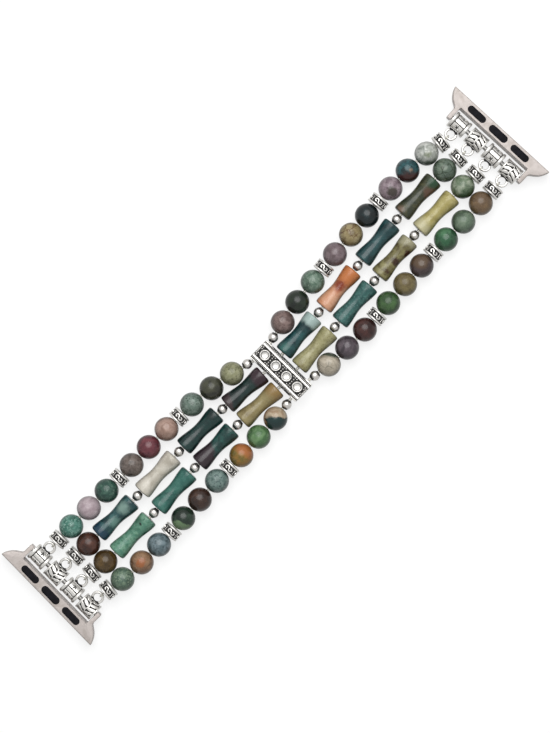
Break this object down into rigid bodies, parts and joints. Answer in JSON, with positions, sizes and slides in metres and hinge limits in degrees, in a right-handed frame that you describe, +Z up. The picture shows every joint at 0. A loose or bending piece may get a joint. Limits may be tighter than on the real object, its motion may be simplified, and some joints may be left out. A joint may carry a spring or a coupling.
{
  "type": "bead watch band",
  "caption": "Stretch watch band of four bead strands with a silver centre bar, metal spacers and a pinned slide-in connector with latch at each end.",
  "frame": {"origin": "under the middle of the centre bar, on the surface that the band rests on", "axes": "+X along the band towards the twelve-o'clock half, +Y across it, +Z up, out of the wrist side"},
  "size_m": [0.1614, 0.0324, 0.0061],
  "materials": {
    "agate_beads": "polished",
    "agate_tubes": "polished",
    "antique_silver": "cast, blackened in its hollows",
    "bright_silver": "polished",
    "elastic_cord": "clear",
    "pearl_metal": "satin pearl",
    "pin_steel": "drawn",
    "pad_rubber": "matt",
    "spring_steel": "plain"
  },
  "bodies": {
    "bar": {"centre_bar": "antique_silver", "centre_bar_cords": "elastic_cord"},
    "noon_row_1": {"noon_row_1_silver_rounds": "bright_silver", "noon_row_1_beads": "agate_beads", "noon_row_1_bamboo_tubes": "agate_tubes", "noon_row_1_cords": "elastic_cord"},
    "noon_stretch_1": {"noon_row_1_stretch_rounds": "bright_silver"},
    "noon_row_2": {"noon_row_2_beads": "agate_beads", "noon_row_2_spacer_rings": "antique_silver", "noon_row_2_bamboo_tubes": "agate_tubes", "noon_row_2_cords": "elastic_cord"},
    "noon_stretch_2": {"noon_row_2_stretch_rounds": "bright_silver"},
    "noon_row_3": {"noon_row_3_beads": "agate_beads", "noon_row_3_spacer_rings": "antique_silver", "noon_row_3_bamboo_tubes": "agate_tubes", "noon_row_3_cords": "elastic_cord"},
    "noon_stretch_3": {"noon_row_3_stretch_rounds": "bright_silver"},
    "noon_row_4": {"noon_row_4_beads": "agate_beads", "noon_row_4_bamboo_tubes": "agate_tubes", "noon_row_4_cords": "elastic_cord"},
    "noon_end_row": {"noon_end_row_beads": "agate_beads", "noon_end_row_spacer_rings": "antique_silver", "noon_end_row_cords": "elastic_cord"},
    "noon_bails": {"noon_flower_bails": "antique_silver", "noon_leaf_bails": "antique_silver"},
    "noon_connector": {"noon_connector_frame": "pearl_metal", "noon_connector_pin": "pin_steel", "noon_grip_pads": "pad_rubber", "noon_latch_spring": "spring_steel"},
    "noon_latch": {"noon_latch_button": "pad_rubber"},
    "six_row_1": {"six_row_1_silver_rounds": "bright_silver", "six_row_1_beads": "agate_beads", "six_row_1_bamboo_tubes": "agate_tubes", "six_row_1_cords": "elastic_cord"},
    "six_stretch_1": {"six_row_1_stretch_rounds": "bright_silver"},
    "six_row_2": {"six_row_2_beads": "agate_beads", "six_row_2_spacer_rings": "antique_silver", "six_row_2_bamboo_tubes": "agate_tubes", "six_row_2_cords": "elastic_cord"},
    "six_stretch_2": {"six_row_2_stretch_rounds": "bright_silver"},
    "six_row_3": {"six_row_3_beads": "agate_beads", "six_row_3_spacer_rings": "antique_silver", "six_row_3_bamboo_tubes": "agate_tubes", "six_row_3_cords": "elastic_cord"},
    "six_stretch_3": {"six_row_3_stretch_rounds": "bright_silver"},
    "six_row_4": {"six_row_4_beads": "agate_beads", "six_row_4_bamboo_tubes": "agate_tubes", "six_row_4_cords": "elastic_cord"},
    "six_end_row": {"six_end_row_beads": "agate_beads", "six_end_row_spacer_rings": "antique_silver", "six_end_row_cords": "elastic_cord"},
    "six_bails": {"six_flower_bails": "antique_silver", "six_leaf_bails": "antique_silver"},
    "six_connector": {"six_connector_frame": "pearl_metal", "six_connector_pin": "pin_steel", "six_grip_pads": "pad_rubber", "six_latch_spring": "spring_steel"},
    "six_latch": {"six_latch_button": "pad_rubber"}
  },
  "joints": [
    {"name": "noon_row_1_bend", "type": "hinge", "parent": "bar", "child": "noon_row_1", "pos_m": [0.0034, 0.00012, 0.003], "axis": [0.0349, -0.9994, 0], "range_deg": [-6, 18]},
    {"name": "noon_stretch_1_pull", "type": "slide", "parent": "noon_row_1", "child": "noon_stretch_1", "axis": [0.9994, 0.0349, 0], "range_m": [0, 0.003], "stiffness_N_per_m": 1500},
    {"name": "noon_row_2_bend", "type": "hinge", "parent": "noon_stretch_1", "child": "noon_row_2", "pos_m": [0.01824, 0.00089, 0.003], "axis": [0.0349, -0.9994, 0], "range_deg": [-6, 25]},
    {"name": "noon_stretch_2_pull", "type": "slide", "parent": "noon_row_2", "child": "noon_stretch_2", "axis": [0.9994, 0.0349, 0], "range_m": [0, 0.003], "stiffness_N_per_m": 1500},
    {"name": "noon_row_3_bend", "type": "hinge", "parent": "noon_stretch_2", "child": "noon_row_3", "pos_m": [0.03307, 0.00201, 0.003], "axis": [0.0349, -0.9994, 0], "range_deg": [-6, 25]},
    {"name": "noon_stretch_3_pull", "type": "slide", "parent": "noon_row_3", "child": "noon_stretch_3", "axis": [0.9994, 0.0349, 0], "range_m": [0, 0.003], "stiffness_N_per_m": 1500},
    {"name": "noon_row_4_bend", "type": "hinge", "parent": "noon_stretch_3", "child": "noon_row_4", "pos_m": [0.04791, 0.00297, 0.003], "axis": [0.0349, -0.9994, 0], "range_deg": [-6, 22]},
    {"name": "noon_end_row_bend", "type": "hinge", "parent": "noon_row_4", "child": "noon_end_row", "pos_m": [0.06019, 0.00305, 0.003], "axis": [0.0349, -0.9994, 0], "range_deg": [-6, 25]},
    {"name": "noon_bail_bend", "type": "hinge", "parent": "noon_end_row", "child": "noon_bails", "pos_m": [0.06954, 0.00258, 0.003], "axis": [0.0349, -0.9994, 0], "range_deg": [-12, 20]},
    {"name": "noon_connector_turn", "type": "hinge", "parent": "noon_bails", "child": "noon_connector", "pos_m": [0.07404, 0.00259, 0.0023], "axis": [0.0349, -0.9994, 0], "range_deg": [-25, 30]},
    {"name": "noon_latch_press", "type": "slide", "parent": "noon_connector", "child": "noon_latch", "axis": [0, 0, -1], "range_m": [0, 0.0008], "stiffness_N_per_m": 500, "deforming": ["noon_latch_spring"]},
    {"name": "six_row_1_bend", "type": "hinge", "parent": "bar", "child": "six_row_1", "pos_m": [-0.0034, 0.00008, 0.003], "axis": [0.0227, 0.9997, 0], "range_deg": [-6, 18]},
    {"name": "six_stretch_1_pull", "type": "slide", "parent": "six_row_1", "child": "six_stretch_1", "axis": [-0.9997, 0.0227, 0], "range_m": [0, 0.003], "stiffness_N_per_m": 1500},
    {"name": "six_row_2_bend", "type": "hinge", "parent": "six_stretch_1", "child": "six_row_2", "pos_m": [-0.01824, 0.00111, 0.003], "axis": [0.0227, 0.9997, 0], "range_deg": [-6, 25]},
    {"name": "six_stretch_2_pull", "type": "slide", "parent": "six_row_2", "child": "six_stretch_2", "axis": [-0.9997, 0.0227, 0], "range_m": [0, 0.003], "stiffness_N_per_m": 1500},
    {"name": "six_row_3_bend", "type": "hinge", "parent": "six_stretch_2", "child": "six_row_3", "pos_m": [-0.0331, 0.0012, 0.003], "axis": [0.0227, 0.9997, 0], "range_deg": [-6, 25]},
    {"name": "six_stretch_3_pull", "type": "slide", "parent": "six_row_3", "child": "six_stretch_3", "axis": [-0.9997, 0.0227, 0], "range_m": [0, 0.003], "stiffness_N_per_m": 1500},
    {"name": "six_row_4_bend", "type": "hinge", "parent": "six_stretch_3", "child": "six_row_4", "pos_m": [-0.04798, 0.00069, 0.003], "axis": [0.0227, 0.9997, 0], "range_deg": [-6, 22]},
    {"name": "six_end_row_bend", "type": "hinge", "parent": "six_row_4", "child": "six_end_row", "pos_m": [-0.06026, 0.00077, 0.003], "axis": [0.0227, 0.9997, 0], "range_deg": [-6, 25]},
    {"name": "six_bail_bend", "type": "hinge", "parent": "six_end_row", "child": "six_bails", "pos_m": [-0.06958, 0.00138, 0.003], "axis": [0.0227, 0.9997, 0], "range_deg": [-12, 20]},
    {"name": "six_connector_turn", "type": "hinge", "parent": "six_bails", "child": "six_connector", "pos_m": [-0.07407, 0.00168, 0.0023], "axis": [0.0227, 0.9997, 0], "range_deg": [-25, 30]},
    {"name": "six_latch_press", "type": "slide", "parent": "six_connector", "child": "six_latch", "axis": [0, 0, -1], "range_m": [0, 0.0008], "stiffness_N_per_m": 500, "deforming": ["six_latch_spring"]}
  ],
  "couplings": [
    {"joint": "noon_stretch_2_pull", "follows": "noon_stretch_1_pull", "ratio": 1},
    {"joint": "noon_stretch_3_pull", "follows": "noon_stretch_1_pull", "ratio": 1},
    {"joint": "six_stretch_1_pull", "follows": "noon_stretch_1_pull", "ratio": 1},
    {"joint": "six_stretch_2_pull", "follows": "noon_stretch_1_pull", "ratio": 1},
    {"joint": "six_stretch_3_pull", "follows": "noon_stretch_1_pull", "ratio": 1}
  ]
}
